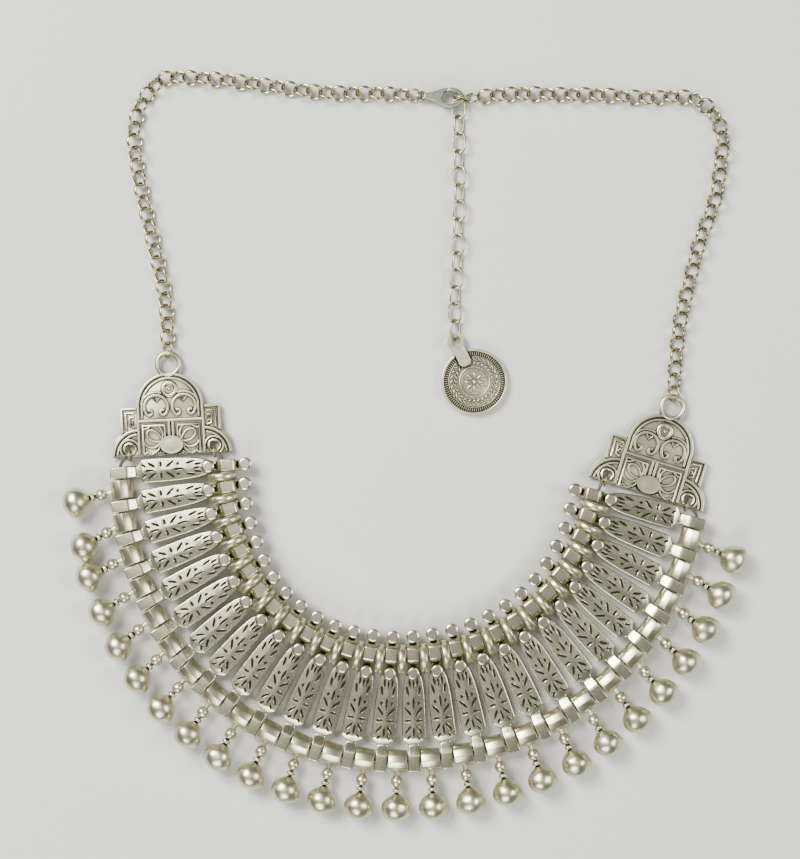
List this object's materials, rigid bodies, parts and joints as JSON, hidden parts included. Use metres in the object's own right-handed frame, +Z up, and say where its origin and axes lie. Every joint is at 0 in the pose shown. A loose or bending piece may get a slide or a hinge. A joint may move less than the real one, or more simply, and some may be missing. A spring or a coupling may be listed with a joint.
{
  "type": "bib necklace",
  "caption": "Bib necklace of cast silver-tone bars fanned between two strings, with ball drops, end plates, link chain, lobster clasp, extender and coin charm.",
  "frame": {"origin": "middle of the necklace's box, on the surface that it lies on", "axes": "+Z up from the surface, +Y towards the clasp at the back of the neck, +X to the right seen from above"},
  "size_m": [0.1716, 0.188, 0.0074],
  "materials": {
    "bar": "antique silver plate, dark in the cuts",
    "bead": "antique silver plate, polished",
    "plate": "antique silver plate with dark relief",
    "chain": "bright silver tone wire",
    "coin": "worn antique silver"
  },
  "bodies": {
    "root": {"bar_01": "bar", "bar_02": "bar", "bar_03": "bar", "bar_04": "bar", "bar_05": "bar", "bar_06": "bar", "bar_07": "bar", "bar_08": "bar", "bar_09": "bar", "bar_10": "bar", "bar_11": "bar", "bar_12": "bar", "bar_13": "bar", "bar_14": "bar", "bar_15": "bar", "bar_16": "bar", "bar_17": "bar", "bar_18": "bar", "bar_19": "bar", "bar_20": "bar", "bar_21": "bar", "bar_22": "bar", "bar_23": "bar", "bar_24": "bar", "bar_25": "bar", "bar_26": "bar", "bar_27": "bar", "outer_string_left": "bead", "outer_string_right": "bead", "inner_string": "bead", "plate_left": "plate", "plate_right": "plate", "jump_ring_left_outer": "chain", "jump_ring_left_inner": "chain", "jump_ring_right_outer": "chain", "jump_ring_right_inner": "chain", "chain_left": "chain", "chain_right": "chain", "clasp": "chain", "clasp_ring": "chain", "extender_chain": "chain", "coin_charm": "coin"}
  },
  "joints": []
}
